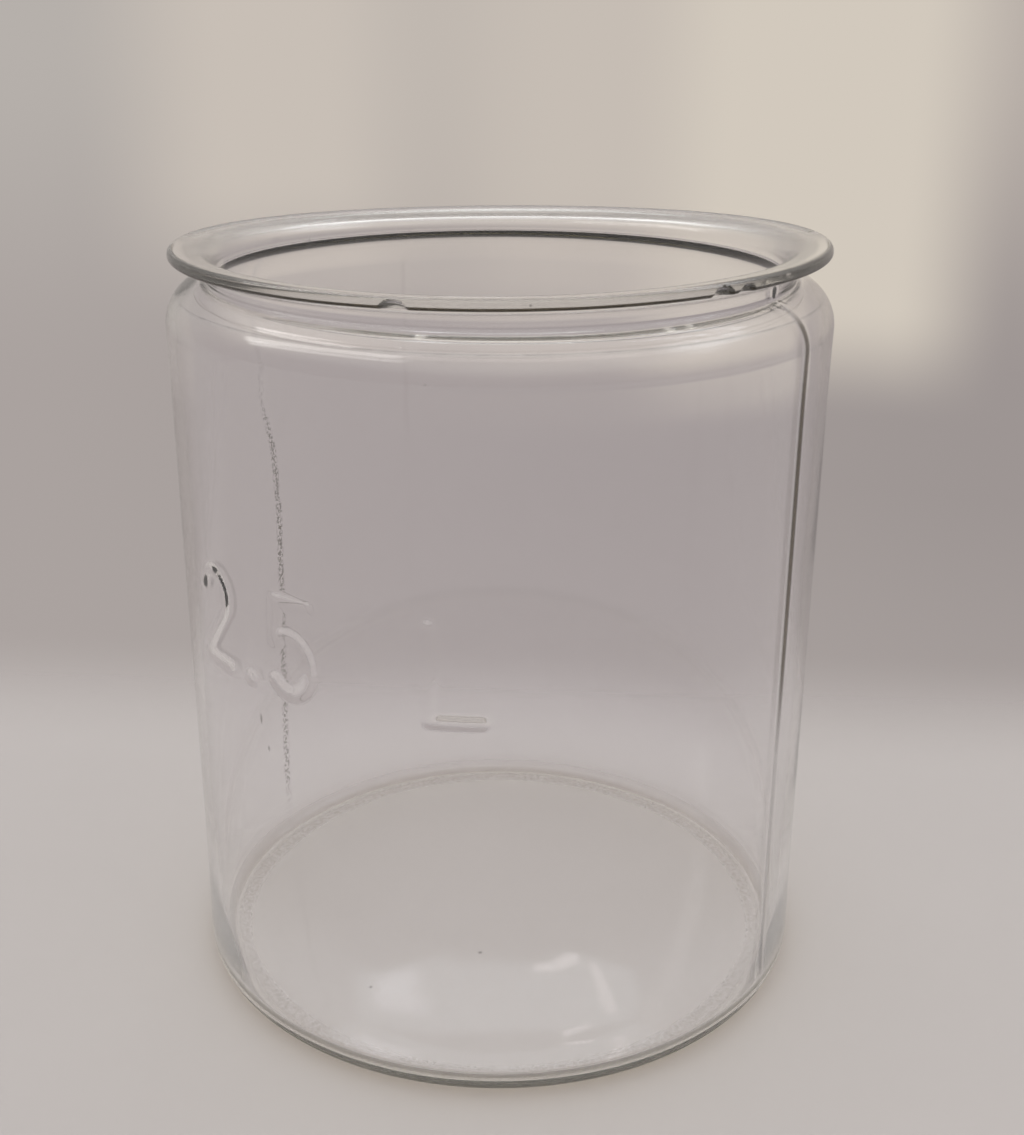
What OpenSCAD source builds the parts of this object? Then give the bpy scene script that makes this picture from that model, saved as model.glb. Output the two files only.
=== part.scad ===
// Wide-mouthed gas jar in clear glass, blown as one piece in a two-part mould.
// Origin at the middle of the foot, on the surface that the jar stands on. +Z is up.
// The two mould seams lie at +X and -X, so each half of the mould faces +Y or -Y.

/* [Body] */
// Height from the foot to the top of the lip
jar_height = 177; // [110:1:260]
// Outside diameter of the straight wall
body_diameter = 150; // [90:1:220]
// Thickness of the blown wall
wall = 2.6; // [1.8:0.1:4]

/* [Base] */
// Thickness of the glass under the jar's floor
base_thickness = 2.8; // [2:0.1:8]
// Radius of the rounded outside edge of the base
heel_radius = 6; // [3:0.5:10]
// Radius of the rounded inside corner at the floor
floor_corner_radius = 4; // [2.5:0.5:14]
// Width of the flat ring that the jar stands on
foot_width = 3; // [1.5:0.5:8]
// How far the middle of the base is pushed up inside the foot
push_up = 1.6; // [0.5:0.1:8]

/* [Shoulder and neck] */
// Outside radius of the turn from the wall to the neck
shoulder_radius = 10; // [6:0.5:20]
// How far the neck lies inside the wall, measured outside
neck_inset = 9.2; // [6:0.1:16]
// Length of the straight stretch of the neck
neck_length = 3.5; // [1.5:0.1:10]
// Radius of the groove outside the neck
neck_groove_radius = 0.9; // [0.6:0.1:3.5]

/* [Lip] */
// How far the lip stands out from the neck
lip_reach = 7.6; // [6:0.1:14]
// Rise of the flared lip above level, in degrees
lip_rise = 6; // [0:1:35]
// Thickness of the neck and the flared lip, drawn out thinner than the wall
lip_thickness = 2.2; // [1.6:0.1:4]
// Radius of the lip's two fire-polished edges
lip_edge_radius = 0.65; // [0.4:0.05:0.8]

/* [Mould seams] */
// Width of the ridge that each mould joint leaves
seam_width = 2; // [0.4:0.1:3]
// Height of that ridge above the wall
seam_height = 0.2; // [0.1:0.05:0.6]

/* [Chips in the lip] */
// Radius of the shell-shaped bite that each knock took out
chip_radius = 2.8; // [1.5:0.1:5]

/* [Hidden] */
// Bearing of each chip from +X, in degrees
chip_bearings = [-71.8, -21.3, -16.3, 40.2];
// How deep each chip goes, as a share of the lip's thickness
chip_depth_shares = [0.5, 0.55, 0.4, 0.28];
// Slope of the knocks below level, in degrees: they came at the lip's lower edge
chip_slope = 58;
// How deep a seam's ridge is rooted, as a share of the wall
seam_root_share = 0.5;
// Where a seam starts on the heel, in degrees below level
seam_start = 60;
// Straight steps along each rounded stretch of the outline
arc_steps = 9;
// Pale grey-green of clear soda-lime glass, and how see-through it is
glass_colour = [0.82, 0.86, 0.82];
glass_alpha = 0.35;
$fn = 144;

body_radius = body_diameter / 2;
inside_radius = body_radius - wall;
neck_radius = body_radius - neck_inset;
lip_half = lip_thickness / 2;

// The lip ends in a nearly upright face between two rounded edges.
lip_out = [cos(lip_rise), sin(lip_rise)];
lip_up = [-sin(lip_rise), cos(lip_rise)];
edge_offset = lip_half - lip_edge_radius;
lip_extent = lip_edge_radius + edge_offset * (lip_out.x + lip_out.y);
lip_centre = [neck_radius + lip_reach - lip_extent, jar_height - lip_extent];
lower_edge = lip_centre + edge_offset * (lip_out - lip_up);
upper_edge = lip_centre + edge_offset * (lip_out + lip_up);

// The flare is a tangent from the lip down to the neck's upper bend.
flare_bend_radius = neck_groove_radius + lip_half;
neck_bend_x = neck_radius + neck_groove_radius;
flare_length = (lip_centre.x - neck_bend_x + flare_bend_radius * sin(lip_rise)) / cos(lip_rise);
upper_bend = [
    neck_bend_x,
    lip_centre.y - flare_bend_radius * cos(lip_rise) - flare_length * sin(lip_rise)
];
lower_bend = upper_bend - [0, neck_length];

// The shoulder touches the neck's lower bend, so its height follows from the two radii.
shoulder_x = body_radius - shoulder_radius;
bend_offset = lower_bend.x - shoulder_x;
bend_drop = height_between(shoulder_radius + neck_groove_radius, bend_offset);
shoulder_centre = [shoulder_x, lower_bend.y - bend_drop];
shoulder_turn = atan2(bend_drop, bend_offset);

// Inside, the throat touches the shoulder's inside in the same way.
throat_bend_radius = neck_groove_radius + lip_thickness;
inside_shoulder_radius = shoulder_radius - wall;
throat_drop = height_between(inside_shoulder_radius + throat_bend_radius, bend_offset);
throat_bend = [neck_bend_x, shoulder_centre.y + throat_drop];
throat_turn = atan2(throat_drop, bend_offset);

heel_centre = [body_radius - heel_radius, heel_radius];
floor_corner = [inside_radius - floor_corner_radius, base_thickness + floor_corner_radius];
foot_inside = heel_centre.x - foot_width;

// Height between two centres a given distance apart, one of them to the side by an offset
function height_between(distance, offset) = sqrt(distance * distance - offset * offset);

// Points along an arc, from one bearing to another
function arc(centre, radius, from, to) = [
    for (i = [0 : arc_steps])
        let (a = from + (to - from) * i / arc_steps)
        centre + radius * [cos(a), sin(a)]
];

// A shallow dome from the axis out to a given edge, as an arc of its own sphere
function dome(edge, rise) =
    let (radius = (edge.x * edge.x + rise * rise) / (2 * rise))
    arc([0, edge.y + rise - radius], radius, 90, 90 - asin(edge.x / radius));

function reversed(points) = [for (i = [len(points) - 1 : -1 : 0]) points[i]];

// The outside of the section from the heel to the neck, moved out by a given depth
function outside(depth) = concat(
    arc(heel_centre, heel_radius + depth, -seam_start, 0),
    arc(shoulder_centre, shoulder_radius + depth, 0, shoulder_turn),
    arc(lower_bend, neck_groove_radius - depth, 180 + shoulder_turn, 180)
);

// Half of the jar's section, walked from the base's middle up the outside and down the inside
module section() {
    polygon(concat(
        dome([foot_inside, 0], push_up),
        arc(heel_centre, heel_radius, -90, 0),
        arc(shoulder_centre, shoulder_radius, 0, shoulder_turn),
        arc(lower_bend, neck_groove_radius, 180 + shoulder_turn, 180),
        arc(upper_bend, neck_groove_radius, 180, 90 + lip_rise),
        arc(lower_edge, lip_edge_radius, lip_rise - 90, lip_rise),
        arc(upper_edge, lip_edge_radius, lip_rise, lip_rise + 90),
        arc(upper_bend, throat_bend_radius, 90 + lip_rise, 180),
        arc(throat_bend, throat_bend_radius, 180, 180 + throat_turn),
        arc(shoulder_centre, inside_shoulder_radius, throat_turn, 0),
        arc(floor_corner, floor_corner_radius, 0, -90),
        reversed(dome([floor_corner.x, base_thickness], push_up))
    ));
}

// The ridge of one mould joint, from the heel over the shoulder into the neck
module seam() {
    seam_angle = 2 * asin(seam_width / body_diameter);
    rotate(-seam_angle / 2)
        rotate_extrude(angle = seam_angle)
            polygon(concat(outside(seam_height), reversed(outside(-wall * seam_root_share))));
}

// The bite of one knock, reaching a share of the lip's thickness into its lower edge
module chip(depth_share) {
    distance = lip_half + chip_radius - lip_thickness * depth_share;
    translate([lip_centre.x + distance * cos(chip_slope), 0, lip_centre.y - distance * sin(chip_slope)])
        sphere(chip_radius);
}

module jar() {
    color(glass_colour, glass_alpha)
        difference() {
            union() {
                rotate_extrude()
                    section();
                for (side = [0, 180])
                    rotate(side)
                        seam();
            }
            for (i = [0 : len(chip_bearings) - 1])
                rotate(chip_bearings[i])
                    chip(chip_depth_shares[i]);
        }
}

jar();
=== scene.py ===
"""A gas jar in clear mould-blown glass on a pale floor. Lengths are metres, in the part's own frame."""
import math

import bpy
import numpy as np
from mathutils import Matrix, Vector


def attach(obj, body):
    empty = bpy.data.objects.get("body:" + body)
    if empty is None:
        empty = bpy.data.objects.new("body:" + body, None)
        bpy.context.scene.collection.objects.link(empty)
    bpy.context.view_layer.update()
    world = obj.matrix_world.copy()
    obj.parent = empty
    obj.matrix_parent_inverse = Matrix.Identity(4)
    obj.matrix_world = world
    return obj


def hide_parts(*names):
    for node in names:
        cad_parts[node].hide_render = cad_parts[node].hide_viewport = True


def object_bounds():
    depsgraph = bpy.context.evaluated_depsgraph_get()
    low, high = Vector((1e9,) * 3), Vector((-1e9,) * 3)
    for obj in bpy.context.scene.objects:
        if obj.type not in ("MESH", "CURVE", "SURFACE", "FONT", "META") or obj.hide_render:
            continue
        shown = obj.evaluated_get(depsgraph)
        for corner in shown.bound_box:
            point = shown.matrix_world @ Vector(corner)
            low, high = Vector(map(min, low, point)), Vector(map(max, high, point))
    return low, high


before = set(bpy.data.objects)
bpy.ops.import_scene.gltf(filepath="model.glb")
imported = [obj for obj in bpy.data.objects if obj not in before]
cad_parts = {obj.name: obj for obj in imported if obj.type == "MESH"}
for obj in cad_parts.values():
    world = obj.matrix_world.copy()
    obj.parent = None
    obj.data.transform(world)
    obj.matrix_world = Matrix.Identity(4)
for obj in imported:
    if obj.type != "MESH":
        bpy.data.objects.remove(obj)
solid_low, solid_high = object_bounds()

MM = 0.001

# The jar's section: the solid's, with a thicker neck and lip, and rounder bends and edges at the rim
HEIGHT = solid_high.z - solid_low.z
BODY_RADIUS = 75 * MM
WALL = 2.6 * MM
BASE_THICKNESS = 2.8 * MM
HEEL_RADIUS = 6 * MM
FLOOR_CORNER_RADIUS = 4 * MM
FOOT_WIDTH = 3 * MM
PUSH_UP = 1.6 * MM
SHOULDER_RADIUS = 10 * MM
NECK_INSET = 9.2 * MM
SHOULDER_HEIGHT = 159 * MM
NECK_THICKNESS = 2.3 * MM
LIP_REACH = 7.6 * MM
LIP_RISE = 6
LIP_THICKNESS = 2.6 * MM
# Radii of the neck's bends into the shoulder and the lip, outside and inside, and of the lip's two edges
LOWER_BEND, LOWER_BEND_INSIDE = 0.9 * MM, 2.75 * MM
UPPER_BEND, UPPER_BEND_INSIDE = 3.0 * MM, 5.5 * MM
LIP_LOWER_EDGE, LIP_UPPER_EDGE = 1.1 * MM, 1.15 * MM

# The soft glass settled unevenly in the mould, more so on the inside
OUTSIDE_WAVE = 0.03 * MM
INSIDE_WAVE = 0.1 * MM
# How far that unevenness takes to grow from the foot, from the lip and from the middle of the base
WAVE_FROM_FOOT, WAVE_FROM_LIP, WAVE_FROM_MIDDLE = 25 * MM, 30 * MM, 30 * MM

# The rim is a little out of level: it tilts down from one bearing and sags across another, in degrees from +X
RIM_TILT = 1.4 * MM
RIM_TILT_BEARING = -31
RIM_SAG = 0.6 * MM
RIM_SAG_BEARING = 34
# The rim sank from here up, while the neck was soft
RIM_FROM = 165 * MM

# The two mould seams: bearing from +X, height, and half width of the ridge
SEAMS = ((0, 0.1 * MM, 1.2 * MM), (180, 0.08 * MM, 1.1 * MM))
# The seams start on the heel, grow over a short height, and are sharpest about half way up
SEAM_START, SEAM_GROWTH = 1.5 * MM, 3 * MM
SEAM_SHARPEST, SEAM_SHARP_SPAN = 105 * MM, 45 * MM
SEAM_LEAST = 0.6
# The far seam wavers where the two halves of the mould met badly: height, then drift along the wall, in mm
SEAM_DRIFT = (
    (0, 0.5), (18, 1.3), (31, 1.0), (60, 0.1), (86, -0.8), (98, -1.4), (115, -0.6), (131, 2.4), (160, 3.2),
)
# The span that holds that drift, in millimetres either way together
DRIFT_SPAN = 10
# The painted shade along each seam: strength by share of the height, half width and softness of its edge
SEAM_SHADE = (
    (((0.02, 0), (0.06, 0.28), (0.38, 0.28), (0.5, 0.58), (0.66, 0.64), (0.78, 0.64), (0.93, 0.5), (0.96, 0)),
     1.2 * MM, 0.8 * MM),
    (((0.02, 0), (0.1, 0.48), (0.3, 0.52), (0.4, 0.6), (0.66, 0.55), (0.74, 0.28), (0.86, 0.18), (0.9, 0)),
     1.2 * MM, 0.8 * MM),
)
# A bead of glass that the seam left under the lip: bearing, height, reach, half width, half height
SEAM_BEAD = (2.2, 170.6 * MM, 0.45 * MM, 0.7 * MM, 1.2 * MM)

# The knocks in the lip: bearing from +X in degrees, radius, depth
CHIPS = (
    (-71.8, 3.2 * MM, 1.6 * MM),
    (-21.3, 3.0 * MM, 1.7 * MM),
    (-16.3, 2.6 * MM, 1.4 * MM),
    (40.2, 2.4 * MM, 0.9 * MM),
)
CHIP_SLOPE = 58
# Faces that meet at more than this many degrees, as at a chip's rim, keep a crisp edge
SHARP_ANGLE = 38

# Where dirt, wear and painted shade lie, as the height or the distance from the axis at which each starts and
# is full
# Under the lip the glass gets painted shade, a dark brown band for the dark lines its edge shows
LIP_SHADE_UP, LIP_FACE_OUT = (173.95 * MM, 173.65 * MM), (71.9 * MM, 72.3 * MM)
FLANGE_UP, FLANGE_OUT = (169 * MM, 172 * MM), (71 * MM, 69.5 * MM)
FILM_UP, FILM_DOWN = (4 * MM, 8 * MM), (45 * MM, 14 * MM)
# The heel is dull, and on its near side the glass gets painted shade, a dark brown band for its dark outline
HEEL_UP, HEEL_OUT = (5.5 * MM, 2.8 * MM), (70.5 * MM, 71.5 * MM)
UNDERSIDE_UP, UNDERSIDE_OUT = (2.4 * MM, 2.0 * MM), (70 * MM, 68 * MM)
SCUFF_UP, SCUFF_INNER, SCUFF_OUTER = (0.8 * MM, 0.25 * MM), (64.5 * MM, 66.5 * MM), (71 * MM, 69 * MM)
# Which side of the jar has it, as distances from the axis towards the jar's front
NEAR_LIP, NEAR_HEEL, FAR_EDGE = (0.0, 15 * MM), (-25 * MM, 20 * MM), (15 * MM, -25 * MM)
# How strong the dirt and the painted shade are
SPECK_DIRT, STAIN_DIRT, LIP_SHADE, HEEL_SHADE = 0.2, 0.42, 0.95, 0.37

# Stains: middle and half size, in millimetres
STAINS = (
    ((-11.6, -74.1, 83.4), (0.7, 1.0, 2.2)),
    ((-9.6, -74.4, 77.0), (0.6, 1.0, 1.2)),
    ((10.3, -24.1, 3.9), (0.9, 0.9, 1.0)),
    ((-4.0, -49.5, 3.3), (0.7, 0.7, 1.0)),
    ((45.0, -57.8, 175.0), (0.5, 0.5, 0.5)),
    ((-63.0, 7.8, 168.4), (0.9, 0.5, 1.3)),
)

# The moulded mark: a plain volume in litres, as bearings of its characters' middles from -Y in degrees
MARK = (("2", -21.3), (".", -10.8), ("5", -1.3), ("L", 26.7))
MARK_HEIGHT = 20.5 * MM
MARK_WIDTH = 12.5 * MM
MARK_BASE = 92 * MM
MARK_STROKE = 3.4 * MM
MARK_RELIEF = 0.3 * MM
# Width of a stroke's rounded flank
MARK_FLANK = 1.1 * MM

# The photograph's camera, from a fit to the rim, the base and the wall
VIEW_BEARING = 33.2
CAMERA_PLACE = Vector((2.92, -338.43, 227.03)) * MM
CAMERA_PITCH = 21.07
CAMERA_ROLL = 0.27
FOCAL_PIXELS = 1489.2
PICTURE_HEIGHT = 1135

# The floor: half its width, the way along which it fades into the wall, and where that starts and ends
FLOOR_HALF = 12.0
FLOOR_FADE_WAY = (0.056, 0.998, 0)
FLOOR_FADE = (79 * MM, 174 * MM)

# What the room shows round the jar, as tone, brightness, and bearing to the right of the view, lift,
# half width, half height, blur and turn in degrees: pale parts of the wall, windows overhead and beside,
# and last the window that the jar's base mirrors, with its bright parts
WINDOWS = (
    ("#c8bfb6", 1.0, (-8.7, 4, 4.5, 13, 3, 0)),
    ("#c6bdb4", 1.0, (3, 4, 6, 15, 5, 0)),
    ("#d2c9bd", 1.0, (11.2, 4.2, 5.2, 17, 2.2, 0)),
    ("#f6f3ee", 1.9, (180, 74, 34, 7, 5, 0)),
    ("#f8f6f2", 4.6, (-98, 46, 24, 3.6, 2.0, 35)),
    ("#f8f6f2", 4.2, (-62, 51, 14, 3.0, 1.8, 53)),
    ("#eef2f6", 2.4, (78, 48, 14, 9, 6, 0)),
    ("#eef2f6", 3.0, (39, 47.5, 10, 2.4, 1.6, 34)),
    ("#ebf1f0", 2.0, (-0.9, 41.2, 7.8, 3.0, 0.6, 0)),
    ("#f1f4f6", 3.9, (-7.6, 40.3, 1.3, 1.7, 0.8, 0)),
    ("#f4f3f0", 3.8, (6.5, 40.6, 2.2, 0.3, 0.25, -66)),
    ("#f4f3f0", 4.2, (3.1, 38.4, 0.9, 0.3, 0.25, 0)),
    ("#f4f3f0", 4.2, (5.6, 44.1, 0.8, 0.3, 0.25, 36)),
)


def smooth(x):
    x = np.clip(x, 0, 1)
    return x * x * (3 - 2 * x)


def turned(angle):
    """An angle brought within half a turn either way."""
    return (angle + math.pi) % (2 * math.pi) - math.pi


def bend(centre, radius, start, end, rows, hollow=False):
    """Points and outward directions along an arc of the section. A hollow arc has the glass outside it."""
    a = np.radians(np.linspace(start, end, rows + 1))
    out = np.stack([np.cos(a), np.sin(a)], -1)
    return np.array(centre) + radius * out, -out if hollow else out


def line(start, end, rows, out):
    """Points between two ends of the section, with one outward direction."""
    return np.linspace(start, end, rows + 1), np.tile(out, (rows + 1, 1))


def dome(edge_radius, edge_height, rows, out):
    """Points and outward directions over the pushed-up base, from the axis to its edge."""
    radius = (edge_radius**2 + PUSH_UP**2) / (2 * PUSH_UP)
    r = np.linspace(0, edge_radius, rows + 1)
    z = edge_height + PUSH_UP - radius + np.sqrt(radius**2 - r**2)
    return np.stack([r, z], -1), np.tile([0.0, float(out)], (rows + 1, 1))


def jar_section():
    """The section from the base's middle up the outside and down the inside, with each row's stretch."""
    neck_radius = BODY_RADIUS - NECK_INSET
    throat_radius = neck_radius - NECK_THICKNESS
    inside = BODY_RADIUS - WALL
    inside_shoulder = SHOULDER_RADIUS - WALL
    rise = math.radians(LIP_RISE)
    lip_out = np.array([math.cos(rise), math.sin(rise)])
    lip_up = np.array([-math.sin(rise), math.cos(rise)])
    half = LIP_THICKNESS / 2
    lip_extent = LIP_UPPER_EDGE + (half - LIP_UPPER_EDGE) * lip_out.sum()
    lip = np.array([neck_radius + LIP_REACH - lip_extent, HEIGHT - lip_extent])
    lower_edge = lip + (half - LIP_LOWER_EDGE) * (lip_out - lip_up)
    upper_edge = lip + (half - LIP_UPPER_EDGE) * (lip_out + lip_up)

    def under_lip(x, above):
        """The centre of a bend at a given radius from the axis, a distance below the lip's middle line."""
        start = lip - above * lip_up
        return start + (x - start[0]) / lip_out[0] * lip_out

    def over_shoulder(x, apart):
        """The centre of a bend at a given radius from the axis, a distance from the shoulder's centre."""
        offset = x - shoulder[0]
        rise_between = math.sqrt(apart**2 - offset**2)
        return np.array([x, shoulder[1] + rise_between]), math.degrees(math.atan2(rise_between, offset))

    shoulder = np.array([BODY_RADIUS - SHOULDER_RADIUS, SHOULDER_HEIGHT])
    upper = under_lip(neck_radius + UPPER_BEND, half + UPPER_BEND)
    upper_inside = under_lip(throat_radius + UPPER_BEND_INSIDE, UPPER_BEND_INSIDE - half)
    lower, turn = over_shoulder(neck_radius + LOWER_BEND, SHOULDER_RADIUS + LOWER_BEND)
    lower_inside, inside_turn = over_shoulder(
        throat_radius + LOWER_BEND_INSIDE, inside_shoulder + LOWER_BEND_INSIDE)
    heel = (BODY_RADIUS - HEEL_RADIUS, HEEL_RADIUS)
    corner = (inside - FLOOR_CORNER_RADIUS, BASE_THICKNESS + FLOOR_CORNER_RADIUS)
    mark_low, mark_high = MARK_BASE - MARK_STROKE, MARK_BASE + MARK_HEIGHT + MARK_STROKE
    floor_points, floor_outs = dome(corner[0], BASE_THICKNESS, 9, 1)
    across = 90 + LIP_RISE
    lower_face, upper_face = lower_edge + LIP_LOWER_EDGE * lip_out, upper_edge + LIP_UPPER_EDGE * lip_out
    top_outside, top_inside = upper_edge + LIP_UPPER_EDGE * lip_up, upper_inside + UPPER_BEND_INSIDE * lip_up
    stretches = (
        ("under", dome(heel[0] - FOOT_WIDTH, 0, 7, -1)),
        ("heel", bend(heel, HEEL_RADIUS, -90, 0, 12)),
        ("wall", line((BODY_RADIUS, HEEL_RADIUS), (BODY_RADIUS, mark_low), 13, (1, 0))),
        ("wall", line((BODY_RADIUS, mark_low), (BODY_RADIUS, mark_high), 46, (1, 0))),
        ("wall", line((BODY_RADIUS, mark_high), (BODY_RADIUS, SHOULDER_HEIGHT), 8, (1, 0))),
        ("shoulder", bend(shoulder, SHOULDER_RADIUS, 0, turn, 15)),
        ("neck", bend(lower, LOWER_BEND, 180 + turn, 180, 7, hollow=True)),
        ("neck", line((neck_radius, lower[1]), (neck_radius, upper[1]), 5, (1, 0))),
        ("lip", bend(upper, UPPER_BEND, 180, across, 7, hollow=True)),
        ("lip", line(upper + UPPER_BEND * lip_up, lower_edge - LIP_LOWER_EDGE * lip_up, 8, -lip_up)),
        ("lip", bend(lower_edge, LIP_LOWER_EDGE, LIP_RISE - 90, LIP_RISE, 8)),
        ("lip", line(lower_face, upper_face, 4, lip_out)),
        ("lip", bend(upper_edge, LIP_UPPER_EDGE, LIP_RISE, across, 7)),
        ("lip", line(top_outside, top_inside, 5, lip_up)),
        ("lip", bend(upper_inside, UPPER_BEND_INSIDE, across, 180, 9)),
        ("throat", bend(lower_inside, LOWER_BEND_INSIDE, 180, 180 + inside_turn, 10)),
        ("inside", bend(shoulder, inside_shoulder, inside_turn, 0, 12, hollow=True)),
        ("inside", line((inside, SHOULDER_HEIGHT), (inside, corner[1]), 10, (-1, 0))),
        ("inside", bend(corner, FLOOR_CORNER_RADIUS, 0, -90, 8, hollow=True)),
        ("floor", (floor_points[::-1], floor_outs[::-1])),
    )
    points, outs, names = [], [], []
    least_step = 0.001 * MM
    for name, (stretch_points, stretch_outs) in stretches:
        for point, out in zip(stretch_points, stretch_outs):
            if not points or np.linalg.norm(point - points[-1]) > least_step:
                points.append(point)
                outs.append(out)
                names.append(name)
    return np.array(points), np.array(outs), np.array(names), lip


def column_bearings():
    """Bearings of the mesh's columns, closer where the mark, a seam or a chip needs them."""
    widest, at_mark, at_seam, at_chip, growth = 1.25, 0.5, 0.35, 0.26, 0.2
    beside_mark = 5
    step = 0.01
    fine = np.arange(-180, 180, step)
    spacing = np.full(len(fine), widest)

    def closer(middle, half, wanted):
        away = np.abs((fine - middle + 180) % 360 - 180) - half
        np.minimum(spacing, wanted + growth * np.clip(away, 0, None), out=spacing)

    first, last = MARK[0][1], MARK[-1][1]
    closer(-90 + (first + last) / 2, (last - first) / 2 + beside_mark, at_mark)
    for bearing, _, half_width in SEAMS:
        closer(bearing, math.degrees(half_width / BODY_RADIUS), at_seam)
    for bearing, radius, _ in CHIPS:
        closer(bearing, math.degrees(radius / BODY_RADIUS), at_chip)
    count = np.cumsum(step / spacing)
    columns = round(count[-1])
    return np.radians(np.interp(np.arange(columns) * count[-1] / columns, count, fine))


def waves(bearings, heights, size, seed, lobes, bands):
    """Long smooth unevenness round the jar, as the soft glass settled in the mould."""
    ripples = 24
    rng = np.random.default_rng(seed)
    field = np.zeros((len(heights), len(bearings)))
    for _ in range(ripples):
        lobe, band = rng.integers(1, lobes), rng.uniform(-bands, bands)
        phase, share = rng.uniform(0, 2 * math.pi), rng.uniform(0.4, 1)
        slant = band * heights[:, None] / HEIGHT * 2 * math.pi
        field += share / math.sqrt(lobe) * np.cos(lobe * bearings + slant + phase)
    return size * field / np.abs(field).max()


def stroke_lines(character):
    """A character's strokes as lines of points, in shares of its width and height."""
    def bow(x, y, rx, ry, start, end):
        return [(x + rx * math.cos(t), y + ry * math.sin(t)) for t in np.radians(np.linspace(start, end, 15))]

    return {
        "2": [bow(0.5, 0.73, 0.42, 0.27, 165, -40) + [(0.06, 0), (0.96, 0)]],
        "5": [[(0.9, 1), (0.2, 1), (0.14, 0.55)] + bow(0.48, 0.32, 0.44, 0.32, 130, -140)],
        "L": [[(0.1, 1), (0.1, 0), (0.95, 0)]],
        ".": [[(0.5, 0), (0.5, 0.02)]],
    }[character]


def mark_relief(bearings, heights):
    """How far the moulded mark stands out from the wall."""
    x = (bearings[None] + math.pi / 2) * BODY_RADIUS
    y = heights[:, None]
    nearest = np.full((len(heights), len(bearings)), 1.0)
    for character, middle in MARK:
        left = math.radians(middle) * BODY_RADIUS - MARK_WIDTH / 2
        for stroke in stroke_lines(character):
            ends = np.array(stroke) * (MARK_WIDTH, MARK_HEIGHT) + (left, MARK_BASE)
            for (ax, ay), (bx, by) in zip(ends, ends[1:]):
                dx, dy = bx - ax, by - ay
                t = np.clip(((x - ax) * dx + (y - ay) * dy) / (dx * dx + dy * dy), 0, 1)
                np.minimum(nearest, np.hypot(x - ax - t * dx, y - ay - t * dy), out=nearest)
    return MARK_RELIEF * smooth((MARK_STROKE / 2 - nearest) / MARK_FLANK)


def seam_ridges(bearings, points, names):
    """How far the mould seams stand out, from the heel up into the neck."""
    heights = points[:, 1]
    drift_heights, drift = np.array(SEAM_DRIFT).T * MM
    ridges = np.zeros((len(points), len(bearings)))
    for side, (bearing, height, half_width) in enumerate(SEAMS):
        wander = side * np.interp(heights, drift_heights, drift)[:, None]
        away = turned(bearings - math.radians(bearing)) * BODY_RADIUS - wander
        sharp = SEAM_LEAST + (1 - SEAM_LEAST) * np.exp(-(((heights - SEAM_SHARPEST) / SEAM_SHARP_SPAN) ** 2))
        ridges += height * sharp[:, None] * np.exp(-((away / half_width) ** 2))
    bearing, middle, reach, half_width, half_height = SEAM_BEAD
    away = turned(bearings - math.radians(bearing)) * BODY_RADIUS / half_width
    ridges += reach * np.exp(-(away**2 + ((heights[:, None] - middle) / half_height) ** 2))
    start = np.where(names == "heel", smooth((heights - SEAM_START) / SEAM_GROWTH), 1.0)
    return np.where(np.isin(names, ("heel", "wall", "shoulder", "neck")), start, 0)[:, None] * ridges


def knock_chips(place, side, bearings, lip, rim):
    """Presses each knock's shell-shaped bite into the lip's points."""
    slope = math.radians(CHIP_SLOPE)
    for bearing, radius, depth in CHIPS:
        a = math.radians(bearing)
        reach = LIP_THICKNESS / 2 + radius - depth
        out = lip[0] + reach * math.cos(slope)
        up = lip[1] - reach * math.sin(slope) + np.interp(a, bearings, rim)
        from_middle = place - np.array([out * math.cos(a), out * math.sin(a), up])
        along = (from_middle * side).sum(-1)
        inside = radius**2 - (from_middle**2).sum(-1)
        cut = np.where(inside > 0, along + np.sqrt(np.maximum(along**2 + inside, 0)), 0)
        place = place - cut[..., None] * side
    return place


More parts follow.
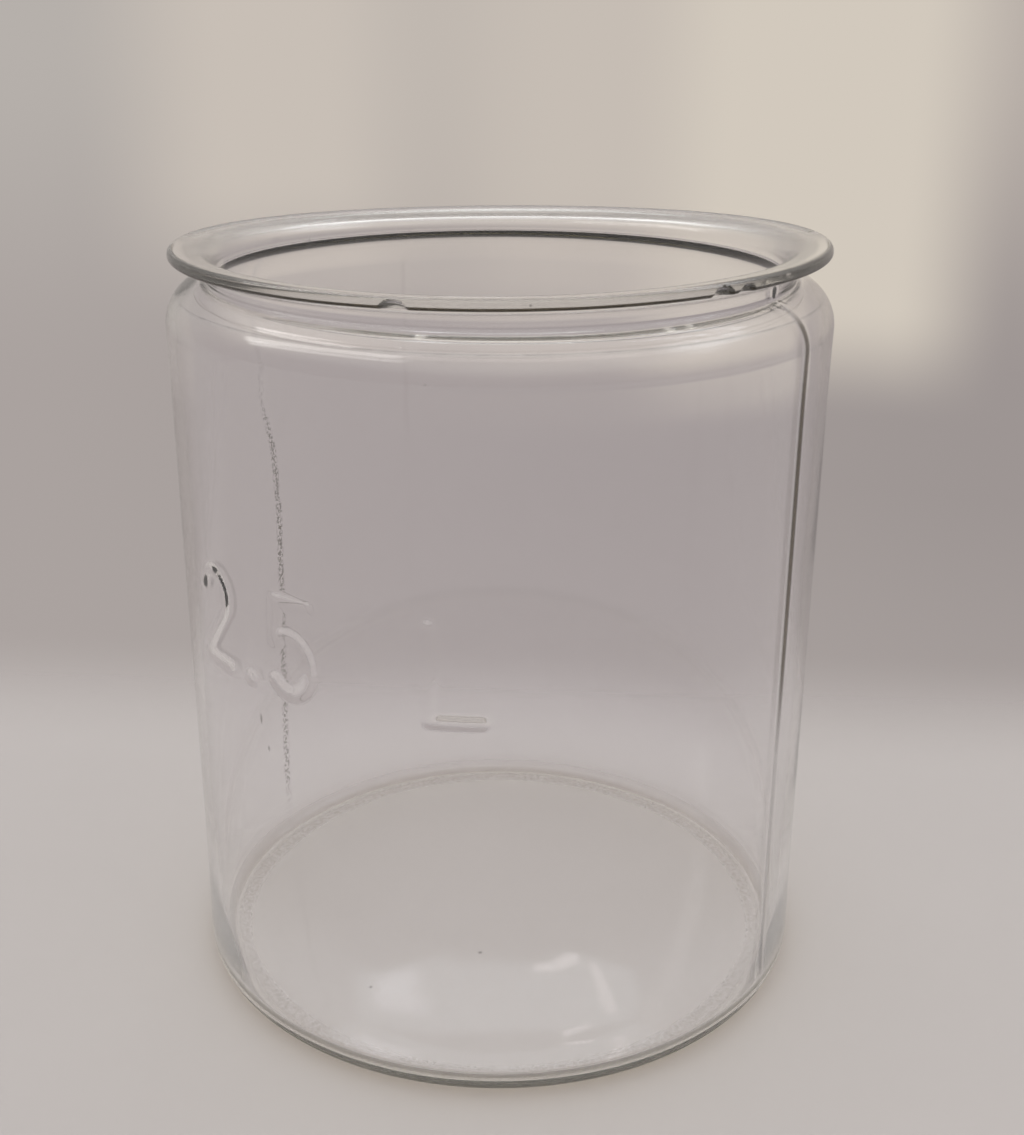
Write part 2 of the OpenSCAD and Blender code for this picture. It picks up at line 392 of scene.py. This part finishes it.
def blown_jar():
    points, outs, names, lip = jar_section()
    bearings = column_bearings()
    radii, heights = points.T
    push = seam_ridges(bearings, points, names)
    on_wall = names == "wall"
    push[on_wall] += mark_relief(bearings, heights[on_wall])
    # The wall lies a mark's height inside the solid's, so that the mark stays within the solid's box
    settled = np.where(np.isin(names, ("heel", "wall", "shoulder")), smooth(heights / WAVE_FROM_FOOT), 0)
    settled = (settled * smooth((lip[1] - heights) / WAVE_FROM_LIP))[:, None]
    uneven = waves(bearings, heights, OUTSIDE_WAVE, seed=3, lobes=9, bands=3)
    push += settled * (uneven - OUTSIDE_WAVE - MARK_RELIEF)
    settled = np.where(np.isin(names, ("inside", "floor")), smooth(radii / WAVE_FROM_MIDDLE), 0)[:, None]
    push += settled * waves(bearings, heights, INSIDE_WAVE, seed=8, lobes=14, bands=4)

    rim = RIM_TILT * np.cos(bearings - math.radians(RIM_TILT_BEARING))
    rim += RIM_SAG * np.cos(2 * (bearings - math.radians(RIM_SAG_BEARING)))
    rim -= rim.max()
    lifted = smooth((heights - RIM_FROM) / (lip[1] - RIM_FROM))[:, None]
    round_out = np.stack([np.cos(bearings), np.sin(bearings)], -1)
    r = radii[:, None] + push * outs[:, :1]
    z = heights[:, None] + push * outs[:, 1:] + lifted * rim
    place = np.concatenate([r[..., None] * round_out, z[..., None]], -1)
    level = np.repeat(outs[:, None, 1:], len(bearings), 1)
    side = np.concatenate([outs[:, :1, None] * round_out, level], -1)
    at_lip = np.flatnonzero(names == "lip")
    place[at_lip] = knock_chips(place[at_lip], side[at_lip], bearings, lip, rim)

    rows, columns = place.shape[:2]
    index = np.zeros((rows, columns), int)
    index[1:-1] = 2 + np.arange((rows - 2) * columns).reshape(rows - 2, columns)
    index[-1] = 1
    after = np.roll(index, -1, 1)
    vertices = np.concatenate([place[:1, 0], place[-1:, 0], place[1:-1].reshape(-1, 3)])
    bands = np.stack([index[1:-2], after[1:-2], after[2:-1], index[2:-1]], -1).reshape(-1, 4)
    under = np.stack([index[0], after[1], index[1]], -1)
    floor = np.stack([index[-2], after[-2], index[-1]], -1)
    mesh = bpy.data.meshes.new("blown_jar")
    mesh.from_pydata(vertices, [], under.tolist() + bands.tolist() + floor.tolist())
    mesh.update()
    mesh.shade_smooth()
    mesh.set_sharp_from_angle(angle=math.radians(SHARP_ANGLE))
    return placed("blown_jar", mesh)


def placed(name, data):
    """An object put into the scene."""
    made = bpy.data.objects.new(name, data)
    bpy.context.scene.collection.objects.link(made)
    return made


def colour(code, strength=1.0):
    """An sRGB hex value as linear colour."""
    parts = [int(code[i:i + 2], 16) / 255 for i in (1, 3, 5)]
    return [strength * (c / 12.92 if c <= 0.04045 else ((c + 0.055) / 1.055) ** 2.4) for c in parts] + [1.0]


def add(tree, kind, inputs=None, **settings):
    """Adds a node with its settings, its values and its links, and gives its outputs."""
    made = tree.nodes.new(kind)
    for name, value in settings.items():
        setattr(made, name, value)
    for name, value in (inputs or {}).items():
        if isinstance(value, bpy.types.NodeSocket):
            tree.links.new(value, made.inputs[name])
        else:
            made.inputs[name].default_value = value
    return made.outputs


def zone(tree, *edges, strength=1.0):
    """A strength within soft edges, each of them a value with the marks where the zone starts and is full."""
    for value, start, full in edges:
        inputs = {"Value": value, "From Min": start, "From Max": full, "To Max": strength}
        strength = add(tree, "ShaderNodeMapRange", inputs, interpolation_type="SMOOTHSTEP")["Result"]
    return strength


def fill_ramp(outputs, stops):
    """Sets a colour ramp's stops, as places and grey levels."""
    ramp = outputs["Color"].node.color_ramp
    while len(ramp.elements) < len(stops):
        ramp.elements.new(1.0)
    for element, (place, level) in zip(ramp.elements, stops):
        element.position = place
        element.color = (level, level, level, 1.0)


def new_material(name):
    made = bpy.data.materials.new(name)
    made.use_nodes = True
    made.node_tree.nodes.clear()
    return made, made.node_tree


def soda_lime_glass():
    """Soda-lime glass, blown in a mould and fire-polished: clear through the wall, with thin dark lines
    where the eye looks along it, a faint dry film, dust specks, painted shade as dark lines along the seams,
    under the near side of the lip and above the near side of the heel, and a foot that standing has scuffed."""
    made, tree = new_material("mould_blown_soda_lime_glass")
    where = add(tree, "ShaderNodeTexCoord")["Object"]
    level = add(tree, "ShaderNodeVectorMath", {0: where, 1: (1, 1, 0)}, operation="MULTIPLY")["Vector"]
    out = add(tree, "ShaderNodeVectorMath", {0: level}, operation="LENGTH")["Value"]
    parts = add(tree, "ShaderNodeSeparateXYZ", {0: where})
    x, y, up = parts["X"], parts["Y"], parts["Z"]
    near = {0: where, 1: to_view @ Vector((0, -1, 0))}
    near = add(tree, "ShaderNodeVectorMath", near, operation="DOT_PRODUCT")["Value"]

    # Film dried in upright streaks, about 7 mm apart
    drawn = add(tree, "ShaderNodeMapping", {"Vector": where, "Scale": (1, 1, 0.09)})["Vector"]
    film = add(tree, "ShaderNodeTexNoise", {"Vector": drawn, "Scale": 1 / (7 * MM), "Detail": 1.0})["Fac"]
    film = zone(tree, (film, 0.5, 0.8))

    # Dust specks up to 0.6 mm across, a few on each hand's breadth of glass
    speck = add(tree, "ShaderNodeTexVoronoi", {"Vector": where, "Scale": 1 / (16 * MM)})["Distance"]
    stains_and_shade = [zone(tree, (speck, 0.022, 0.012), strength=SPECK_DIRT)]
    for middle, half in STAINS:
        away = {0: where, 1: Vector(middle) * MM}
        away = add(tree, "ShaderNodeVectorMath", away, operation="SUBTRACT")["Vector"]
        away = {0: away, 1: Vector(half) * MM}
        away = add(tree, "ShaderNodeVectorMath", away, operation="DIVIDE")["Vector"]
        away = add(tree, "ShaderNodeVectorMath", {0: away}, operation="LENGTH")["Value"]
        stains_and_shade.append(zone(tree, (away, 1.0, 0.3), strength=STAIN_DIRT))

    # The outside is what lies beyond the middle of the glass, up over the shoulder
    middle_radius = SHOULDER_RADIUS - WALL / 2
    over = add(tree, "ShaderNodeMath", {0: up, 1: SHOULDER_HEIGHT}, operation="SUBTRACT")["Value"]
    over = add(tree, "ShaderNodeMath", {0: over, 1: 0.0}, operation="MAXIMUM")["Value"]
    over = {0: over, 1: over, 2: -middle_radius**2}
    over = add(tree, "ShaderNodeMath", over, operation="MULTIPLY_ADD")["Value"]
    over = add(tree, "ShaderNodeMath", {0: over, 1: -1.0}, operation="MULTIPLY")["Value"]
    over = add(tree, "ShaderNodeMath", {0: over}, operation="SQRT")["Value"]
    over = add(tree, "ShaderNodeMath", {0: over, 1: BODY_RADIUS - SHOULDER_RADIUS}, operation="ADD")["Value"]
    outside = add(tree, "ShaderNodeMath", {0: out, 1: over}, operation="GREATER_THAN")["Value"]

    # Painted shade along the seams: a dark brown line for the dark line each seam ridge shows in the glass,
    # an even one on one side, a crackled one that wavers on the other
    height = add(tree, "ShaderNodeMath", {0: up, 1: HEIGHT}, operation="DIVIDE")["Value"]
    crackle = {"Vector": where, "Scale": 1 / (0.9 * MM), "Detail": 3.0, "Roughness": 0.7}
    crackle = add(tree, "ShaderNodeTexNoise", crackle)["Fac"]
    for side, (strengths, reach, edge) in enumerate(SEAM_SHADE):
        joint = add(tree, "ShaderNodeValToRGB", {"Fac": height})
        fill_ramp(joint, strengths)
        joint = add(tree, "ShaderNodeMath", {0: joint["Color"], 1: outside}, operation="MULTIPLY")["Value"]
        away = y
        if side:
            drift = add(tree, "ShaderNodeValToRGB", {"Fac": height})
            fill_ramp(drift, [(z * MM / HEIGHT, d / DRIFT_SPAN + 0.5) for z, d in SEAM_DRIFT])
            drift = {0: drift["Color"], 1: DRIFT_SPAN * MM, 2: -DRIFT_SPAN / 2 * MM}
            drift = add(tree, "ShaderNodeMath", drift, operation="MULTIPLY_ADD")["Value"]
            away = add(tree, "ShaderNodeMath", {0: away, 1: drift}, operation="ADD")["Value"]
            joint = zone(tree, (crackle, 0.42, 0.58), strength=joint)
        away = add(tree, "ShaderNodeMath", {0: away}, operation="ABSOLUTE")["Value"]
        beyond_axis = -1 * MM if side else 1 * MM
        stains_and_shade.append(zone(tree, (away, reach + edge, reach - edge), (x, 0.0, beyond_axis), strength=joint))

    # Painted shade: a thin broken dark brown line darkens the underside of the lip on its near side, which is
    # a little out of level, for the dark lines the lip's edge shows
    tilt, sag = (Vector((math.cos(math.radians(b)), math.sin(math.radians(b)), 0)) / BODY_RADIUS
                 for b in (RIM_TILT_BEARING, RIM_SAG_BEARING))
    tilt = {0: where, 1: tilt * RIM_TILT}
    tilt = add(tree, "ShaderNodeVectorMath", tilt, operation="DOT_PRODUCT")["Value"]
    sag = add(tree, "ShaderNodeVectorMath", {0: where, 1: sag}, operation="DOT_PRODUCT")["Value"]
    sag = add(tree, "ShaderNodeMath", {0: sag, 1: sag, 2: -0.5}, operation="MULTIPLY_ADD")["Value"]
    rim = add(tree, "ShaderNodeMath", {0: sag, 1: 2 * RIM_SAG, 2: tilt}, operation="MULTIPLY_ADD")["Value"]
    below = add(tree, "ShaderNodeMath", {0: up, 1: rim}, operation="SUBTRACT")["Value"]
    stains_and_shade.append(zone(
        tree, (film, -0.8, 0.3), (below, *LIP_SHADE_UP), (up, RIM_FROM, RIM_FROM + 2 * MM),
        (out, *LIP_FACE_OUT), (near, *NEAR_LIP), strength=LIP_SHADE))

    # The heel is dull from being set down; on the near side, just above where the jar stands, a dark brown
    # band is painted shade for the heel's dark outline
    heel = zone(tree, (up, *HEEL_UP), (out, *HEEL_OUT))
    heel_painted_shade = add(tree, "ShaderNodeMath", {0: heel, 1: HEEL_SHADE}, operation="MULTIPLY")["Value"]
    stains_and_shade.append(zone(tree, (near, *NEAR_HEEL), strength=heel_painted_shade))

    # Specks, stains and the painted shade together, the strongest of them wins
    stain_and_shade = stains_and_shade[0]
    for other in stains_and_shade[1:]:
        stain_and_shade = add(tree, "ShaderNodeMath", {0: stain_and_shade, 1: other}, operation="MAXIMUM")["Value"]

    # The foot's scuffed ring, with scratches about 1 mm apart
    grit = add(tree, "ShaderNodeTexNoise", {"Vector": where, "Scale": 1 / (1.2 * MM), "Detail": 3.0})["Fac"]
    scuff = zone(tree, (grit, 0.1, 0.9), (up, *SCUFF_UP), (out, *SCUFF_OUTER), (out, *SCUFF_INNER))
    # The flange is dull from the lids that were slid over it, and its far edge is worn
    flange = zone(tree, (up, *FLANGE_UP))
    dull = zone(tree, (out, *FLANGE_OUT), strength=flange)
    worn = zone(tree, (near, *FAR_EDGE), (out, *reversed(FLANGE_OUT)), strength=flange)
    # The underside is matt from the mould's bottom plate
    under = zone(tree, (up, *UNDERSIDE_UP), (out, *UNDERSIDE_OUT))
    # The film is thickest near the foot, where water dried last
    dried = zone(tree, (up, *FILM_DOWN), (up, *FILM_UP))

    tint = {0: scuff, 6: colour("#faf9fc"), 7: colour("#8a7f70")}
    tint = add(tree, "ShaderNodeMix", tint, data_type="RGBA")[2]
    # Stains and the painted shade darken the glass to a dark brown and let less light through
    tint = {0: zone(tree, (stain_and_shade, 0.0, 0.6)), 6: tint, 7: colour("#3d3526")}
    tint = add(tree, "ShaderNodeMix", tint, data_type="RGBA")[2]
    dirt_and_shade = add(tree, "ShaderNodeMath", {0: scuff, 1: stain_and_shade}, operation="MAXIMUM")["Value"]
    clear = add(tree, "ShaderNodeMapRange", {"Value": dried, "To Min": 0.985, "To Max": 0.9})["Result"]
    clear = add(tree, "ShaderNodeMapRange", {"Value": dirt_and_shade, "To Min": clear, "To Max": 0.6})["Result"]
    matt = add(tree, "ShaderNodeMapRange", {"Value": film, "To Max": 0.035})["Result"]
    for worked, rough in ((dull, 0.16), (worn, 0.45), (under, 0.25), (heel, 0.38), (scuff, 0.4)):
        matt = add(tree, "ShaderNodeMapRange", {"Value": worked, "To Min": matt, "To Max": rough})["Result"]
    glass = add(tree, "ShaderNodeBsdfPrincipled", {
        "Base Color": tint, "Roughness": matt, "Transmission Weight": clear, "IOR": 1.52})["BSDF"]

    # The floor's light passes through, weaker where it meets the glass edge-on and at the thick heel
    edge_on = add(tree, "ShaderNodeLayerWeight", {"Blend": 0.025})["Facing"]
    dim = {0: edge_on, 6: colour("#ffffff"), 7: colour("#8c8884")}
    dim = add(tree, "ShaderNodeMix", dim, data_type="RGBA")[2]
    dim = add(tree, "ShaderNodeMix", {0: heel, 6: dim, 7: colour("#d3ccc3")}, data_type="RGBA")[2]
    through = add(tree, "ShaderNodeBsdfTransparent", {"Color": dim})["BSDF"]
    rays = add(tree, "ShaderNodeLightPath")
    both = add(tree, "ShaderNodeMixShader", {0: rays["Is Shadow Ray"], 1: glass, 2: through})["Shader"]
    both = add(tree, "ShaderNodeMixShader", {0: rays["Is Diffuse Ray"], 1: both, 2: through})["Shader"]
    # The iron in the glass colours long ways through it olive
    depth = add(tree, "ShaderNodeVolumeAbsorption", {"Color": colour("#edeaba"), "Density": 16.0})["Volume"]
    add(tree, "ShaderNodeOutputMaterial", {"Surface": both, "Volume": depth})
    return made


def floor_paper():
    """Matt paper, plain and a little uneven in tone, that fades into the wall behind the jar."""
    made, tree = new_material("pale_matt_paper")
    where = add(tree, "ShaderNodeTexCoord")["Object"]
    tone = add(tree, "ShaderNodeTexNoise", {"Vector": where, "Scale": 1 / (90 * MM), "Detail": 2.0})["Fac"]
    tone = {0: tone, 6: colour("#bfbab8"), 7: colour("#c3bebc")}
    tone = add(tree, "ShaderNodeMix", tone, data_type="RGBA")[2]
    paper = add(tree, "ShaderNodeBsdfDiffuse", {"Color": tone})["BSDF"]
    gap = add(tree, "ShaderNodeBsdfTransparent")["BSDF"]
    away = {0: where, 1: to_view @ Vector(FLOOR_FADE_WAY)}
    away = add(tree, "ShaderNodeVectorMath", away, operation="DOT_PRODUCT")["Value"]
    fade = zone(tree, (away, *FLOOR_FADE))
    both = add(tree, "ShaderNodeMixShader", {0: fade, 1: paper, 2: gap})["Shader"]
    add(tree, "ShaderNodeOutputMaterial", {"Surface": both})
    return made


def soft_window(tree, way, bearing, lift, half_width, half_height, blur, turn):
    """How much of a soft-edged window lies along a direction. Bearings run to the right of the view."""
    aim = to_view
    for degrees, axis in ((-bearing, "Z"), (lift, "X"), (turn, "Y")):
        aim = aim @ Matrix.Rotation(math.radians(degrees), 3, axis)

    ahead = {0: way, 1: aim @ Vector((0, 1, 0))}
    ahead = add(tree, "ShaderNodeVectorMath", ahead, operation="DOT_PRODUCT")["Value"]
    seen = add(tree, "ShaderNodeMapRange", {"Value": ahead, "From Max": 0.1})["Result"]
    for axis, half in (((1, 0, 0), half_width), ((0, 0, 1), half_height)):
        off = {0: way, 1: aim @ Vector(axis)}
        off = add(tree, "ShaderNodeVectorMath", off, operation="DOT_PRODUCT")["Value"]
        off = add(tree, "ShaderNodeMath", {0: off}, operation="ABSOLUTE")["Value"]
        starts, full = (math.sin(math.radians(half + b)) for b in (blur, -blur))
        seen = zone(tree, (off, starts, full), strength=seen)
    return seen


def studio_world():
    """A soft grey room: a paler wall ahead, windows overhead and at the sides, the floor's tone below."""
    world = bpy.data.worlds.new("soft_grey_room")
    bpy.context.scene.world = world
    world.use_nodes = True
    world.cycles.sampling_method = "NONE"
    tree = world.node_tree
    tree.nodes.clear()
    way = add(tree, "ShaderNodeTexCoord")["Generated"]
    up = add(tree, "ShaderNodeSeparateXYZ", {0: way})["Z"]
    right = {0: way, 1: to_view @ Vector((1, 0, 0))}
    right = add(tree, "ShaderNodeVectorMath", right, operation="DOT_PRODUCT")["Value"]
    ahead = {0: way, 1: to_view @ Vector((0, 1, 0))}
    ahead = add(tree, "ShaderNodeVectorMath", ahead, operation="DOT_PRODUCT")["Value"]

    # The wall ahead: a little darker to the right, paler low down and again in its upper part
    across = add(tree, "ShaderNodeMapRange", {"Value": right, "From Min": -0.3, "From Max": 0.3})["Result"]
    wall, upper = (
        add(tree, "ShaderNodeMix", {0: across, 6: colour(at_left), 7: colour(at_right)}, data_type="RGBA")[2]
        for at_left, at_right in (("#aaa29f", "#9d9593"), ("#b6b0ab", "#b8afa8")))
    low = {"Value": up, "From Min": -0.3, "From Max": -0.42, "To Max": 0.5}
    low = add(tree, "ShaderNodeMapRange", low)["Result"]
    wall = add(tree, "ShaderNodeMix", {0: low, 6: wall, 7: colour("#aca4a1")}, data_type="RGBA")[2]
    lift = zone(tree, (up, -0.24, -0.02))
    wall = add(tree, "ShaderNodeMix", {0: lift, 6: wall, 7: upper}, data_type="RGBA")[2]

    # The rest of the room, with the floor's tone below and a pale ceiling
    below = add(tree, "ShaderNodeMapRange", {"Value": up, "From Min": 0.02, "From Max": -0.1})["Result"]
    room = {0: below, 6: colour("#a8a09d"), 7: colour("#bdb8b5")}
    room = add(tree, "ShaderNodeMix", room, data_type="RGBA")[2]
    beside = add(tree, "ShaderNodeMapRange", {"Value": ahead, "From Min": 0.7, "From Max": 0.3})["Result"]
    room = add(tree, "ShaderNodeMix", {0: beside, 6: wall, 7: room}, data_type="RGBA")[2]
    overhead = zone(tree, (up, 0.35, 0.65))
    room = add(tree, "ShaderNodeMix", {0: overhead, 6: room, 7: colour("#e6e2de")}, data_type="RGBA")[2]
    for tone, strength, window in WINDOWS:
        room = {0: soft_window(tree, way, *window), 6: room, 7: colour(tone, strength)}
        room = add(tree, "ShaderNodeMix", room, data_type="RGBA")[2]

    # The room is what the camera and the glass see; a plain soft fill lights the floor
    rays = add(tree, "ShaderNodeLightPath")
    seen = {0: rays["Is Camera Ray"], 1: rays["Is Glossy Ray"]}
    seen = add(tree, "ShaderNodeMath", seen, operation="MAXIMUM")["Value"]
    seen = {0: seen, 1: rays["Is Transmission Ray"]}
    seen = add(tree, "ShaderNodeMath", seen, operation="MAXIMUM")["Value"]
    shown = add(tree, "ShaderNodeBackground", {"Color": room})["Background"]
    fill = add(tree, "ShaderNodeBackground", {"Color": colour("#f6f4f3"), "Strength": 1.09})["Background"]
    both = add(tree, "ShaderNodeMixShader", {0: seen, 1: fill, 2: shown})["Shader"]
    add(tree, "ShaderNodeOutputWorld", {"Surface": both})


def photo_camera():
    camera = placed("camera", bpy.data.cameras.new("camera"))
    camera.data.lens = FOCAL_PIXELS * camera.data.sensor_width / PICTURE_HEIGHT
    camera.matrix_world = (
        to_view.to_4x4() @ Matrix.Translation(CAMERA_PLACE)
        @ Matrix.Rotation(math.radians(90 - CAMERA_PITCH), 4, "X")
        @ Matrix.Rotation(math.radians(CAMERA_ROLL), 4, "Z")
    )
    bpy.context.scene.camera = camera


def pale_floor():
    mesh = bpy.data.meshes.new("floor")
    corners = [(x * FLOOR_HALF, y * FLOOR_HALF, 0) for x, y in ((-1, -1), (1, -1), (1, 1), (-1, 1))]
    mesh.from_pydata(corners, [], [(0, 1, 2, 3)])
    floor = placed("floor", mesh)
    mesh.materials.append(floor_paper())


to_view = Matrix.Rotation(math.radians(VIEW_BEARING), 3, "Z")
bpy.context.scene.view_settings.view_transform = "Standard"
photo_camera()
studio_world()
pale_floor()

jar = blown_jar()
jar.data.materials.append(soda_lime_glass())
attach(jar, "root")
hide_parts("jar")
